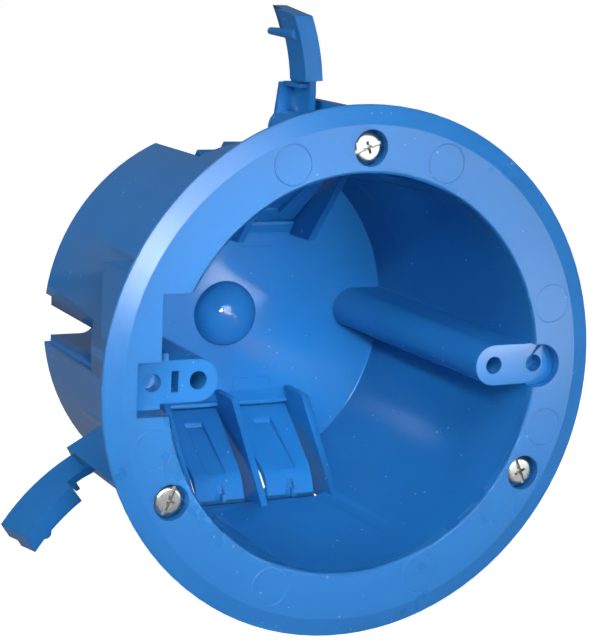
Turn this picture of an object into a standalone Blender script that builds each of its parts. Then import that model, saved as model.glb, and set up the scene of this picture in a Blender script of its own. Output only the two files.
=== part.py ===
"""Round old-work electrical box with cable clamps and three swing clamps.

Frame: the origin is the centre of the wall opening, in the plane of the wall's
face. -Y points out into the room, +Y into the wall, +Z is up. The flange lies
on the room side of the wall plane and the cup behind it.
"""

import math

import bmesh
import bpy
from mathutils import Matrix, Vector

MM = 0.001
GAP = 0.3 * MM

# Flange and cup
FLANGE_RADIUS = 57.1 * MM
FLANGE_THICKNESS = 2.2 * MM
BEVEL_WIDTH = 4.0 * MM
BEVEL_DROP = 1.2 * MM
MOUTH_RADIUS = 43.0 * MM
CUP_BACK_RADIUS = 42.1 * MM
CUP_RADIUS = 45.2 * MM
CUP_DEPTH = 71.5 * MM
BACK_THICKNESS = 2.0 * MM
STEP_DEPTH = 53.0 * MM
STEP_WIDTH = 0.3 * MM
EDGE_ROUND = 0.5 * MM
DOME_RADIUS = 7.9 * MM
DOME_HEIGHT = 5.8 * MM
ROUND_SEGMENTS = 96

# Posts for the device screws
INNER_HOLE_X = 34.3 * MM
OUTER_HOLE_X = 44.45 * MM
DEVICE_HOLE_RADIUS = 1.9 * MM
POST_FRONT_HALF = 4.5 * MM
POST_REAR_HALF = 5.1 * MM
RIGHT_FACE = 0.6 * MM
LEFT_FACE = 3.9 * MM
RECESS_RADIUS = 4.75 * MM
RECESS_HALF = 5.6 * MM
LEFT_RECESS_END = 50.0 * MM
SLOT_X = (38.7 * MM, 40.3 * MM)
SLOT_HALF = 2.2 * MM
SLOT_DEPTH = 5.0 * MM
INNER_HOLE_DEPTH = 14.0 * MM
OUTER_HOLE_DEPTH = 3.4 * MM
POST_SKIN = 1.6 * MM
GROOVE_NOSE_X = 35.8 * MM
GROOVE_START = 38.5 * MM
GROOVE_MOUTH_X = 43.2 * MM
GROOVE_MOUTH_LOW = 5.0 * MM
GROOVE_MOUTH_HIGH = 6.4 * MM

# Notch in the flange beside the left post, with its pocket
NOTCH_X = 45.0 * MM
NOTCH_LOW = 5.4 * MM
NOTCH_HIGH = 19.4 * MM
POCKET_DEPTH = 25.8 * MM
POCKET_WALL = 1.9 * MM

# Swing clamp stations
SCREW_CIRCLE = 48.2 * MM
SCREW_ANGLES = {"top": 90.0, "lower_left": 209.5, "lower_right": 330.0}
SCREW_RADIUS = 2.08 * MM
SCREW_LENGTH = 45.5 * MM
HEAD_RADIUS = 3.35 * MM
HEAD_HEIGHT = 2.2 * MM
HEAD_SEAT = 1.2 * MM
CROSS_LENGTH = 4.0 * MM
CROSS_WIDTH = 0.9 * MM
COUNTERBORE_RADIUS = 3.85 * MM
BOSS_RADIUS = 5.0 * MM
BOSS_DEPTH = 3.0 * MM
SCALLOP_RADIUS = 4.35 * MM
SCALLOP_END = 46.0 * MM
STOP_NEAR = 4.4 * MM
STOP_FAR = 6.4 * MM
STOP_REACH = 54.8 * MM
STOP_DEPTH = 37.0 * MM

# Swing clamp; u runs along the arm from the screw axis, v across it, clockwise positive
BARREL_RADIUS = 4.0 * MM
BARREL_FRONT = 30.2 * MM
BARREL_REAR = 40.2 * MM
NECK_FRONT = 30.6 * MM
NECK_PLATE = 1.6 * MM
NECK_TOP = 10.1 * MM
NECK_ROOT_SIDE = 2.7 * MM
NECK_TIP_SIDE = 1.8 * MM
ARM_FRONT = 27.2 * MM
ARM_WEB = 35.2 * MM
ARM_REAR = 40.2 * MM
ARM_START = 11.1 * MM
ARM_LENGTH = 30.0 * MM
ARM_BEND_RADIUS = 45.0 * MM
ARM_BEND_FROM = 7.9 * MM
ARM_OUTER = 2.8 * MM
ARM_INNER = -1.3 * MM
ARM_WALL = 1.5 * MM
ARM_LEAN = 0.5 * MM
FOOT_START = 20.6 * MM
FOOT_INNER = 0.1 * MM
TIP_FRONT_REACH = 25.3 * MM
TIP_REAR_REACH = 26.9 * MM
PEG_CENTRE = (-3.3 * MM, 21.1 * MM)
PEG_RADIUS = 1.3 * MM
PEG_END_RADIUS = 0.8 * MM
PEG_REAR = 42.2 * MM
SWING_REST = {"top": 0.0, "lower_left": 2.5, "lower_right": 0.0}

# Cable clamp stations, mirrored above and below
BAY_CENTRES = {"left": -9.75 * MM, "right": 8.25 * MM}
DIVIDER_X = (-18.5 * MM, -1.0 * MM, 17.5 * MM)
DIVIDER_WIDTH = 1.7 * MM
DIVIDER_TOP = 18.9 * MM
DIVIDER_SHOULDER = 59.4 * MM
DIVIDER_END = 40.2 * MM
DIVIDER_FOOT = 39.5 * MM
MIDDLE_DIVIDER_REAR = 41.6 * MM
BAY_START = 44.6 * MM
BAY_EDGE = 22.4 * MM
BAND_START = 19.6 * MM
BAND_FRONT = 2.6 * MM
BAND_STEP_DEPTH = 0.75 * MM
BAND_STEP_HEIGHT = 0.95 * MM
BACK_EDGE = 25.3 * MM
RAMP_START = 35.8 * MM
RAMP_RISE = 40.0 * MM
RAMP_END = 39.8 * MM
HINGE_DEPTH = 67.6 * MM
HINGE_HEIGHT = 23.9 * MM
HINGE_RADIUS = 1.1 * MM
TONGUE_ROOT_WIDTHS = {"left": 15.2 * MM, "right": 16.0 * MM}
TONGUE_LIP_WIDTH = 12.0 * MM
TONGUE_THICKNESS = 2.6 * MM
TONGUE_BEND = (47.5 * MM, 34.2 * MM)
TONGUE_END = (45.6 * MM, 39.3 * MM)
TOE_TIP = (48.6 * MM, 42.2 * MM)
TOE_THICKNESS = 1.8 * MM
BEND_SPAN = 2.9 * MM
CHANNEL_WIDTH = 4.7 * MM
CHANNEL_DEPTH = 1.5 * MM
CHANNEL_START = 3.0 * MM
CHANNEL_END = 21.4 * MM
LIP_NOTCH = (
    (-0.7 * MM, 35.9 * MM),
    (0.7 * MM, 35.9 * MM),
    (1.8 * MM, 41.0 * MM),
    (-1.8 * MM, 41.0 * MM),
)

MODEL_NAME = "old_work_round_box"


def clear_scene():
    """Remove every object the file opened with."""
    for item in list(bpy.data.objects):
        bpy.data.objects.remove(item, do_unlink=True)


def material(name, colour, roughness, metallic):
    """A plain Principled material."""
    made = bpy.data.materials.new(name)
    made.use_nodes = True
    shader = made.node_tree.nodes["Principled BSDF"]
    shader.inputs["Base Color"].default_value = (*colour, 1.0)
    shader.inputs["Roughness"].default_value = roughness
    shader.inputs["Metallic"].default_value = metallic
    return made


def link(name, mesh, group):
    """Put a mesh in the scene as an object at the origin."""
    item = bpy.data.objects.new(name, mesh)
    group.objects.link(item)
    return item


def evaluated_mesh(item):
    """The mesh of an object with its modifiers or its curve bevel worked out."""
    bpy.context.view_layer.update()
    graph = bpy.context.evaluated_depsgraph_get()
    return bpy.data.meshes.new_from_object(item.evaluated_get(graph))


def combine(target, other, operation):
    """Join, cut or intersect the target with another solid, which is used up."""
    boolean = target.modifiers.new(operation.lower(), "BOOLEAN")
    boolean.operation = operation
    boolean.solver = "EXACT"
    boolean.object = other
    result = evaluated_mesh(target)
    target.modifiers.clear()
    target.data = result
    bpy.data.objects.remove(other, do_unlink=True)


def join(target, other):
    """Boolean union."""
    combine(target, other, "UNION")


def cut(target, other):
    """Boolean difference."""
    combine(target, other, "DIFFERENCE")


def box(low, high, group):
    """A box between two corners."""
    mesh = bpy.data.meshes.new("box")
    shape = bmesh.new()
    bmesh.ops.create_cube(shape, size=1.0)
    size = [high[axis] - low[axis] for axis in range(3)]
    middle = [(high[axis] + low[axis]) / 2 for axis in range(3)]
    bmesh.ops.scale(shape, vec=size, verts=shape.verts)
    bmesh.ops.translate(shape, vec=middle, verts=shape.verts)
    shape.to_mesh(mesh)
    shape.free()
    return link("box", mesh, group)


def rod(centre, front, rear, radius, group, rear_radius=None, segments=24):
    """A cylinder or cone along Y, centred on (x, z), from front to rear."""
    mesh = bpy.data.meshes.new("rod")
    shape = bmesh.new()
    far = radius if rear_radius is None else rear_radius
    bmesh.ops.create_cone(
        shape,
        cap_ends=True,
        segments=segments,
        radius1=far,
        radius2=radius,
        depth=rear - front,
    )
    bmesh.ops.rotate(shape, matrix=Matrix.Rotation(math.radians(90), 3, "X"), verts=shape.verts)
    middle = (centre[0], (front + rear) / 2, centre[1])
    bmesh.ops.translate(shape, vec=middle, verts=shape.verts)
    shape.to_mesh(mesh)
    shape.free()
    return link("rod", mesh, group)


PLANES = {
    # outline (a, b) and extrusion direction of each plane
    "XZ": Matrix(((1, 0, 0), (0, 0, -1), (0, 1, 0))).to_4x4(),
    "YZ": Matrix(((0, 0, 1), (1, 0, 0), (0, 1, 0))).to_4x4(),
}


def prism(points, plane, low, high, group):
    """A flat outline extruded across its plane, from low to high."""
    curve = bpy.data.curves.new("outline", "CURVE")
    curve.dimensions = "2D"
    curve.fill_mode = "BOTH"
    curve.extrude = (high - low) / 2
    spline = curve.splines.new("POLY")
    spline.points.add(len(points) - 1)
    for point, (first, second) in zip(spline.points, points):
        point.co = (first, second, 0, 1)
    spline.use_cyclic_u = True
    drawn = link("outline", curve, group)
    mesh = evaluated_mesh(drawn)
    bpy.data.objects.remove(drawn, do_unlink=True)
    across = (low + high) / 2
    offset = (0, across, 0) if plane == "XZ" else (across, 0, 0)
    shape = bmesh.new()
    shape.from_mesh(mesh)
    bmesh.ops.remove_doubles(shape, verts=shape.verts, dist=0.000005)
    bmesh.ops.transform(shape, matrix=Matrix.Translation(offset) @ PLANES[plane], verts=shape.verts)
    bmesh.ops.recalc_face_normals(shape, faces=shape.faces)
    shape.to_mesh(mesh)
    shape.free()
    return link("prism", mesh, group)


def arc(centre, radius, start, end, steps):
    """Points on an arc, angles in degrees."""
    points = []
    for step in range(steps + 1):
        angle = math.radians(start + (end - start) * step / steps)
        points.append((centre[0] + radius * math.cos(angle), centre[1] + radius * math.sin(angle)))
    return points


def turned(profile, segments, group):
    """A profile of (radius, depth) turned round the Y axis."""
    mesh = bpy.data.meshes.new("turned")
    edges = [(index, index + 1) for index in range(len(profile) - 1)]
    mesh.from_pydata([(radius, 0, depth) for radius, depth in profile], edges, [])
    item = link("turned", mesh, group)
    screw = item.modifiers.new("turn", "SCREW")
    screw.axis = "Z"
    screw.steps = segments
    screw.render_steps = segments
    screw.use_merge_vertices = True
    screw.merge_threshold = 0.000005
    result = evaluated_mesh(item)
    item.modifiers.clear()
    result.transform(Matrix.Rotation(math.radians(-90), 4, "X"))
    item.data = result
    return item


def turn_about_axis(item, degrees):
    """Turn a solid about the box's own axis, counter-clockwise seen from the room."""
    item.data.transform(Matrix.Rotation(math.radians(-degrees), 4, "Y"))
    return item


def smooth_round_faces(item):
    """Shade the round faces smooth and keep real edges sharp."""
    item.data.shade_smooth()
    item.data.set_sharp_from_angle(angle=math.radians(35))


# Box body


def cup_profile():
    """The (radius, depth) outline of flange and cup, down the outside and back inside."""
    front = -FLANGE_THICKNESS
    rim_edge = front + BEVEL_DROP
    back_inside = CUP_DEPTH - BACK_THICKNESS
    return [
        (0, CUP_DEPTH),
        (CUP_RADIUS - EDGE_ROUND, CUP_DEPTH),
        (CUP_RADIUS, CUP_DEPTH - EDGE_ROUND),
        (CUP_RADIUS, 0),
        (FLANGE_RADIUS - EDGE_ROUND / 2, 0),
        (FLANGE_RADIUS, -EDGE_ROUND / 2),
        (FLANGE_RADIUS, rim_edge),
        (FLANGE_RADIUS - BEVEL_WIDTH, front),
        (MOUTH_RADIUS + EDGE_ROUND, front),
        (MOUTH_RADIUS, front + EDGE_ROUND),
        (CUP_BACK_RADIUS + STEP_WIDTH, STEP_DEPTH),
        (CUP_BACK_RADIUS, STEP_DEPTH + STEP_WIDTH),
        (CUP_BACK_RADIUS, back_inside),
        (0, back_inside),
    ]


def open_cable_bays(body, group):
    """Cut the wall away behind the cable clamps, above and below."""
    for side in (1, -1):
        low = (DIVIDER_X[0], BAY_START, min(side * BACK_EDGE, side * 60 * MM))
        high = (DIVIDER_X[2], CUP_DEPTH + 1 * MM, max(side * BACK_EDGE, side * 60 * MM))
        cut(body, box(low, high, group))


def divider_outline(side, reach, rear_reach):
    """Outline of one divider web in depth and height."""
    shoulder = (DIVIDER_SHOULDER, side * DIVIDER_TOP)
    foot = (DIVIDER_END, side * DIVIDER_FOOT)
    rear = CUP_DEPTH - 0.6 * MM
    return [
        (rear, side * DIVIDER_TOP),
        shoulder,
        foot,
        (DIVIDER_END, side * reach),
        (rear - 1.5 * MM, side * rear_reach),
        (rear, side * (rear_reach - 1.5 * MM)),
    ]


def add_cable_bay_webs(body, group):
    """Dividers, stepped hinge bands and entry ramps of the cable clamp stations."""
    half = DIVIDER_WIDTH / 2
    for side in (1, -1):
        for place in DIVIDER_X:
            outer = math.sqrt(CUP_RADIUS**2 - (abs(place) + half) ** 2) - 0.3 * MM
            outline = divider_outline(side, outer, min(outer, MIDDLE_DIVIDER_REAR))
            join(body, prism(outline, "YZ", place - half, place + half, group))
        steps = [(CUP_DEPTH - 0.6 * MM, side * BAND_START)]
        for index in range(3):
            front = CUP_DEPTH - BAND_FRONT - BAND_STEP_DEPTH * index
            height = BAND_START + BAND_STEP_HEIGHT * index
            steps.append((front, side * height))
            steps.append((front, side * (height + 0.7 * MM)))
        steps.append((CUP_DEPTH - 4.1 * MM, side * BAY_EDGE))
        steps.append((CUP_DEPTH - 0.6 * MM, side * BAY_EDGE))
        join(body, prism(steps, "YZ", DIVIDER_X[0], DIVIDER_X[2], group))
        ramp_outline = [
            (RAMP_START, side * (MOUTH_RADIUS - 0.2 * MM)),
            (RAMP_END, side * RAMP_RISE),
            (BAY_START, side * RAMP_RISE),
            (BAY_START, side * 46 * MM),
            (RAMP_START, side * 46 * MM),
        ]
        ramp = prism(ramp_outline, "YZ", DIVIDER_X[0], DIVIDER_X[2], group)
        reach = (RAMP_START - 2 * MM, BAY_START + 2 * MM)
        inside = rod((0, 0), *reach, MOUTH_RADIUS + 0.9 * MM, group, segments=ROUND_SEGMENTS)
        combine(ramp, inside, "INTERSECT")
        join(body, ramp)


def post_outline(half, nose_x, wall_x):
    """A post's section: a half-round nose on a straight shank that runs into the wall."""
    nose = arc((nose_x, 0), half, -90, -270, 12)
    return [(wall_x, -half), *nose, (wall_x, half)]


def add_post(body, sign, face, group):
    """A device post from its face to the back of the cup, widening to the rear."""
    wall_x = MOUTH_RADIUS + 0.8 * MM
    post = prism(post_outline(POST_FRONT_HALF, INNER_HOLE_X, wall_x), "XZ", face, CUP_DEPTH - 1 * MM, group)
    spread = (POST_REAR_HALF - POST_FRONT_HALF) / (CUP_DEPTH - face)
    for vertex in post.data.vertices:
        growth = 1 + spread * (vertex.co.y - face) / POST_FRONT_HALF
        vertex.co.z *= growth
        if vertex.co.x < INNER_HOLE_X:
            vertex.co.x = INNER_HOLE_X - (INNER_HOLE_X - vertex.co.x) * growth
    if sign < 0:
        post.data.transform(Matrix.Scale(-1, 4, (1, 0, 0)))
        post.data.flip_normals()
    join(body, post)


def hollow_post(body, sign, group):
    """The groove that leaves the rear of a post hollow, open to the outside."""
    half = POST_REAR_HALF - POST_SKIN
    outline = post_outline(half, GROOVE_NOSE_X, CUP_RADIUS + 4 * MM)
    groove = prism(outline, "XZ", GROOVE_START, CUP_DEPTH + 2 * MM, group)
    low = (GROOVE_MOUTH_X, GROOVE_START, -GROOVE_MOUTH_LOW)
    high = (CUP_RADIUS + 4 * MM, CUP_DEPTH + 2 * MM, GROOVE_MOUTH_HIGH)
    join(groove, box(low, high, group))
    if sign < 0:
        groove.data.transform(Matrix.Scale(-1, 4, (1, 0, 0)))
        groove.data.flip_normals()
    cut(body, groove)


def add_device_mounts(body, group):
    """Both device posts with their recesses in the flange and their screw holes."""
    front = -FLANGE_THICKNESS - 1 * MM
    boss_reach = OUTER_HOLE_X + RECESS_RADIUS + 0.7 * MM
    boss_half = RECESS_RADIUS + 1.2 * MM
    join(body, box((MOUTH_RADIUS, -1 * MM, -boss_half), (boss_reach, 5.2 * MM, boss_half), group))
    housing_low = (-LEFT_RECESS_END - 1.5 * MM, -1 * MM, -RECESS_HALF - 1.5 * MM)
    housing_high = (-MOUTH_RADIUS, LEFT_FACE + 3 * MM, RECESS_HALF + 1.5 * MM)
    join(body, box(housing_low, housing_high, group))

    recess = arc((OUTER_HOLE_X, 0), RECESS_RADIUS, -90, 90, 14)
    recess = [(MOUTH_RADIUS - 3 * MM, -RECESS_RADIUS), *recess, (MOUTH_RADIUS - 3 * MM, RECESS_RADIUS)]
    cut(body, prism(recess, "XZ", front, RIGHT_FACE, group))
    left_low = (-LEFT_RECESS_END, front, -RECESS_HALF)
    left_high = (-MOUTH_RADIUS + 4 * MM, LEFT_FACE, RECESS_HALF)
    cut(body, box(left_low, left_high, group))

    add_post(body, 1, RIGHT_FACE, group)
    add_post(body, -1, LEFT_FACE, group)
    for sign, face in ((1, RIGHT_FACE), (-1, LEFT_FACE)):
        inner = (sign * INNER_HOLE_X, 0)
        outer = (sign * OUTER_HOLE_X, 0)
        cut(body, rod(inner, face - 1 * MM, face + INNER_HOLE_DEPTH, DEVICE_HOLE_RADIUS, group))
        cut(body, rod(outer, face - 1 * MM, face + OUTER_HOLE_DEPTH, DEVICE_HOLE_RADIUS, group))
        hollow_post(body, sign, group)
    slot_low = (-SLOT_X[1], LEFT_FACE - 1 * MM, -SLOT_HALF)
    slot_high = (-SLOT_X[0], LEFT_FACE + SLOT_DEPTH, SLOT_HALF)
    cut(body, box(slot_low, slot_high, group))


def add_notch(body, group):
    """The rectangular notch in the flange and the pocket behind it."""
    outer_x = NOTCH_X + POCKET_WALL
    low = (-outer_x, -1 * MM, NOTCH_LOW - POCKET_WALL / 2)
    high = (-38 * MM, POCKET_DEPTH + POCKET_WALL, NOTCH_HIGH + POCKET_WALL)
    pocket = box(low, high, group)
    ring = rod((0, 0), -2 * MM, POCKET_DEPTH + 4 * MM, MOUTH_RADIUS + 0.6 * MM, group, segments=96)
    cut(pocket, ring)
    join(body, pocket)
    hollow_low = (-NOTCH_X, -FLANGE_THICKNESS - 1 * MM, NOTCH_LOW)
    hollow_high = (-36 * MM, POCKET_DEPTH, NOTCH_HIGH)
    cut(body, box(hollow_low, hollow_high, group))


def add_screw_stations(body, group):
    """Screw holes, the bosses behind them, the clearance scallops and the stop plates."""
    for angle in SCREW_ANGLES.values():
        axis = (SCREW_CIRCLE, 0)
        boss = rod(axis, -1 * MM, BOSS_DEPTH, BOSS_RADIUS, group, segments=32)
        join(body, turn_about_axis(boss, angle))
        scallop = rod(axis, BOSS_DEPTH + 0.01 * MM, SCALLOP_END, SCALLOP_RADIUS, group, segments=32)
        cut(body, turn_about_axis(scallop, angle))
        sink = (-FLANGE_THICKNESS - 1 * MM, HEAD_SEAT)
        counterbore = rod(axis, *sink, COUNTERBORE_RADIUS, group, segments=32)
        cut(body, turn_about_axis(counterbore, angle))
        hole = rod(axis, -1 * MM, BOSS_DEPTH + 1 * MM, SCREW_RADIUS + GAP, group)
        cut(body, turn_about_axis(hole, angle))
        low = (CUP_RADIUS - 1.5 * MM, -1 * MM, -STOP_FAR)
        high = (STOP_REACH, STOP_DEPTH, -STOP_NEAR)
        join(body, turn_about_axis(box(low, high, group), angle))


def make_body(group, finish):
    """The one-piece moulded box."""
    body = turned(cup_profile(), ROUND_SEGMENTS, group)
    body.name = "box_body"
    open_cable_bays(body, group)
    add_cable_bay_webs(body, group)
    add_notch(body, group)
    add_device_mounts(body, group)
    add_screw_stations(body, group)
    back_inside = CUP_DEPTH - BACK_THICKNESS
    dome = [(0, back_inside + 1 * MM), (DOME_RADIUS, back_inside + 1 * MM)]
    for across, rise in arc((0, 0), 1.0, 0, 90, 8):
        dome.append((across * DOME_RADIUS, back_inside - rise * DOME_HEIGHT))
    dome[-1] = (0, back_inside - DOME_HEIGHT)
    join(body, turned(dome, 40, group))
    body.data.materials.clear()
    body.data.materials.append(finish)
    smooth_round_faces(body)
    return body


# Cable clamp tongues


def tongue_frame():
    """Where a tongue's upper face starts, its direction to the bend and its downward normal."""
    hinge = Vector((HINGE_DEPTH, HINGE_HEIGHT))
    along = (Vector(TONGUE_BEND) - hinge).normalized()
    down = Vector((-along.y, along.x))
    if down.y < 0:
        down = -down
    return hinge, along, down


def tongue_outline():
    """Depth and height outline of a tongue, from its hinge bead to its swept-back toe."""
    hinge, along, down = tongue_frame()
    bend = Vector(TONGUE_BEND)
    end = Vector(TONGUE_END)
    toe = Vector(TOE_TIP)
    start = math.degrees(math.atan2(-down.y, -down.x))
    bead = arc(hinge, HINGE_RADIUS, start, start + 180, 10)
    lip = (end - bend).normalized()
    sweep = (toe - end).normalized()
    back = Vector((sweep.y, -sweep.x))
    underside = bend + down * (TONGUE_THICKNESS - HINGE_RADIUS) - along * 1.5 * MM
    return [
        *bead,
        tuple(underside),
        tuple(end + back * TOE_THICKNESS * 1.3),
        tuple(toe + back * TOE_THICKNESS),
        tuple(toe),
        tuple(end),
        *rounded_corner(bend, lip * BEND_SPAN, -along * BEND_SPAN),
    ]


def rounded_corner(corner, first_leg, last_leg, steps=6):
    """Points on a smooth curve that leaves one leg of a corner and joins the other."""
    points = []
    for step in range(steps + 1):
        share = step / steps
        points.append(tuple(corner + first_leg * (1 - share) ** 2 + last_leg * share**2))
    return points


def channel_outline():
    """Outline of the long channel sunk in a tongue's upper face."""
    hinge, along, down = tongue_frame()
    top = hinge - down * HINGE_RADIUS
    near = top + along * CHANNEL_START
    far = top + along * CHANNEL_END
    return [
        tuple(near - down * 2 * MM),
        tuple(near + along * CHANNEL_DEPTH + down * CHANNEL_DEPTH),
        tuple(far + down * CHANNEL_DEPTH),
        tuple(far - down * 2 * MM),
    ]


def make_tongue(name, centre_x, width, side, group, finish):
    """One flexing cable clamp tongue with its long channel and notched lip."""
    half = width / 2
    tongue = prism(tongue_outline(), "YZ", -half, half, group)
    tongue.name = name
    root_depth = HINGE_DEPTH - 4 * MM
    for vertex in tongue.data.vertices:
        if vertex.co.y < root_depth and vertex.co.z < TONGUE_END[1] + 1 * MM:
            reach = (root_depth - vertex.co.y) / (root_depth - TONGUE_BEND[0])
            vertex.co.x *= 1 - min(reach, 1) * (1 - TONGUE_LIP_WIDTH / width)
    channel_half = CHANNEL_WIDTH / 2
    cut(tongue, prism(channel_outline(), "YZ", -channel_half, channel_half, group))
    cut(tongue, prism(LIP_NOTCH, "XZ", 40 * MM, TONGUE_END[0] + 1.6 * MM, group))
    post_low = (0.5 * MM, TONGUE_END[0] + 0.2 * MM, 38.2 * MM)
    post_high = (1.6 * MM, TONGUE_END[0] + 2.4 * MM, 40.1 * MM)
    join(tongue, box(post_low, post_high, group))
    if side < 0:
        tongue.data.transform(Matrix.Scale(-1, 4, (0, 0, 1)))
        tongue.data.flip_normals()
    tongue.data.transform(Matrix.Translation((centre_x, 0, 0)))
    tongue.data.materials.clear()
    tongue.data.materials.append(finish)
    hinge = Vector((centre_x, HINGE_DEPTH, side * HINGE_HEIGHT))
    tongue.data.transform(Matrix.Translation(-hinge))
    tongue.location = hinge
    smooth_round_faces(tongue)
    return tongue


# Screws


def make_screw(name, angle, group, finish):
    """A pan head clamp screw; its origin is on its axis, in the wall plane."""
    top = HEAD_SEAT - HEAD_HEIGHT
    profile = [
        (0, SCREW_LENGTH),
        (SCREW_RADIUS - 0.8 * MM, SCREW_LENGTH),
        (SCREW_RADIUS, SCREW_LENGTH - 0.8 * MM),
        (SCREW_RADIUS, HEAD_SEAT - GAP),
        (HEAD_RADIUS, HEAD_SEAT - GAP),
        (HEAD_RADIUS, top + 1.1 * MM),
        (HEAD_RADIUS - 0.35 * MM, top + 0.45 * MM),
        (HEAD_RADIUS - 1.1 * MM, top + 0.1 * MM),
        (0, top),
    ]
    screw = turned(profile, 32, group)
    screw.name = name
    reach = CROSS_LENGTH / 2
    half = CROSS_WIDTH / 2
    cross = box((-reach, top - 1 * MM, -half), (reach, top + 1 * MM, half), group)
    join(cross, box((-half, top - 1 * MM, -reach), (half, top + 1 * MM, reach), group))
    cut(screw, cross)
    smooth_round_faces(screw)
    screw.data.materials.clear()
    screw.data.materials.append(finish)
    place = math.radians(angle)
    screw.location = (SCREW_CIRCLE * math.cos(place), 0, SCREW_CIRCLE * math.sin(place))
    return screw


# Swing clamps


def arm_band(start, reach, inner, outer):
    """Outline of a band of the arm, bent so that the folded arm hugs the cup."""
    centre = (-ARM_BEND_RADIUS, ARM_BEND_FROM)
    first = math.degrees(math.asin((start - ARM_BEND_FROM) / ARM_BEND_RADIUS))
    last = math.degrees(math.asin((reach - ARM_BEND_FROM) / ARM_BEND_RADIUS))
    outside = arc(centre, ARM_BEND_RADIUS + outer, first, last, 12)
    inside = arc(centre, ARM_BEND_RADIUS + inner, last, first, 12)
    return [*outside, *inside]


def make_arm(clamp, group):
    """The arm: a full-depth wall on the convex side, a grip pad in front and a foot at the tip."""
    wall_inner = ARM_OUTER - ARM_WALL
    wall_front = ARM_FRONT + 1.5 * MM
    wall = prism(arm_band(1 * MM, ARM_LENGTH, wall_inner, ARM_OUTER), "XZ", wall_front, ARM_REAR, group)
    for vertex in wall.data.vertices:
        outward = Vector((vertex.co.x + ARM_BEND_RADIUS, 0, vertex.co.z - ARM_BEND_FROM))
        if vertex.co.y > ARM_WEB and outward.length > ARM_BEND_RADIUS + ARM_OUTER - ARM_WALL / 2:
            vertex.co += outward.normalized() * ARM_LEAN
    relief_low = (-9 * MM, ARM_FRONT - 1 * MM, -1 * MM)
    cut(wall, box(relief_low, (9 * MM, NECK_FRONT, ARM_START), group))
    join(clamp, wall)
    pad = arm_band(ARM_START, ARM_LENGTH + 2 * MM, ARM_INNER, ARM_OUTER + 0.02 * MM)
    join(clamp, prism(pad, "XZ", ARM_FRONT, ARM_WEB, group))
    foot = arm_band(FOOT_START, ARM_LENGTH + 1 * MM, FOOT_INNER, ARM_OUTER - 0.75 * MM)
    join(clamp, prism(foot, "XZ", ARM_WEB - 1.7 * MM, ARM_REAR - 0.15 * MM, group))
    slope = (TIP_REAR_REACH - TIP_FRONT_REACH) / (ARM_REAR - ARM_FRONT)
    near = ARM_FRONT - 2 * MM
    far = ARM_REAR + 5 * MM
    beyond = ARM_LENGTH + 8 * MM
    tip = [
        (near, TIP_FRONT_REACH + slope * (near - ARM_FRONT)),
        (far, TIP_FRONT_REACH + slope * (far - ARM_FRONT)),
        (far, beyond),
        (near, beyond),
    ]
    cut(clamp, prism(tip, "YZ", -24 * MM, 9 * MM, group))


def make_neck(clamp, group):
    """The neck that carries the arm on the barrel: a tapered plate behind and a shelf above it."""
    plate = [
        (-NECK_ROOT_SIDE, 1 * MM),
        (ARM_OUTER - 0.5 * MM, 1 * MM),
        (ARM_OUTER - 0.5 * MM, NECK_TOP),
        (-NECK_TIP_SIDE, NECK_TOP),
        (-NECK_ROOT_SIDE, 3.2 * MM),
    ]
    rear = BARREL_REAR - 0.03 * MM
    join(clamp, prism(plate, "XZ", rear - NECK_PLATE, rear, group))
    shelf_low = (-NECK_TIP_SIDE / 2, NECK_FRONT + 1 * MM, NECK_TOP - 0.8 * MM)
    join(clamp, box(shelf_low, (ARM_OUTER - 0.6 * MM, rear - 0.5 * MM, NECK_TOP + 0.2 * MM), group))
    heel_low = (ARM_OUTER - 1 * MM, NECK_FRONT + 2 * MM, 4.2 * MM)
    join(clamp, box(heel_low, (STOP_NEAR - GAP, NECK_FRONT + 5.4 * MM, 6.2 * MM), group))


def make_clamp(name, place, group, finish):
    """A swing clamp, modelled pointing up from the screw axis and turned to its station."""
    clamp = rod((0, 0), BARREL_FRONT, BARREL_REAR, BARREL_RADIUS, group, segments=32)
    clamp.name = name
    make_neck(clamp, group)
    make_arm(clamp, group)
    peg_front = ARM_FRONT + 1.3 * MM
    peg = rod(PEG_CENTRE, peg_front, PEG_REAR, PEG_RADIUS, group, PEG_END_RADIUS, segments=18)
    join(clamp, peg)
    bore = rod((0, 0), BARREL_FRONT - 8 * MM, BARREL_REAR + 5 * MM, SCREW_RADIUS + GAP, group, segments=32)
    cut(clamp, bore)
    angle = SCREW_ANGLES[place] + SWING_REST[place]
    clamp.data.transform(Matrix.Rotation(math.radians(90 - angle), 4, "Y"))
    clamp.data.materials.clear()
    clamp.data.materials.append(finish)
    smooth_round_faces(clamp)
    station = math.radians(SCREW_ANGLES[place])
    clamp.location = (SCREW_CIRCLE * math.cos(station), 0, SCREW_CIRCLE * math.sin(station))
    return clamp


def main():
    """Build every piece of the box."""
    clear_scene()
    model = bpy.data.collections.new(MODEL_NAME)
    bpy.context.scene.collection.children.link(model)
    moulding = material("blue_moulding", (0.035, 0.19, 0.60), 0.38, 0.0)
    zinc = material("zinc_plate", (0.62, 0.62, 0.60), 0.3, 1.0)
    make_body(model, moulding)
    for row, side in (("top", 1), ("bottom", -1)):
        for column, centre in BAY_CENTRES.items():
            width = TONGUE_ROOT_WIDTHS[column]
            make_tongue(f"cable_clamp_{row}_{column}", centre, width, side, model, moulding)
    for place, angle in SCREW_ANGLES.items():
        make_screw(f"clamp_screw_{place}", angle, model, zinc)
        make_clamp(f"swing_clamp_{place}", place, model, moulding)


main()
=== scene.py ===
"""Looks of a round old-work electrical box: moulded blue body, zinc screws and a pale studio.

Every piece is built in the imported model's frame, in metres. The origin is the centre of the
wall opening in the plane of the flange's rear face; -Y points into the room and +Z is up.
"""

import logging
import math
from dataclasses import dataclass, field
from enum import Enum
from typing import Sequence

import bmesh
import bpy
from mathutils import Matrix, Vector


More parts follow.
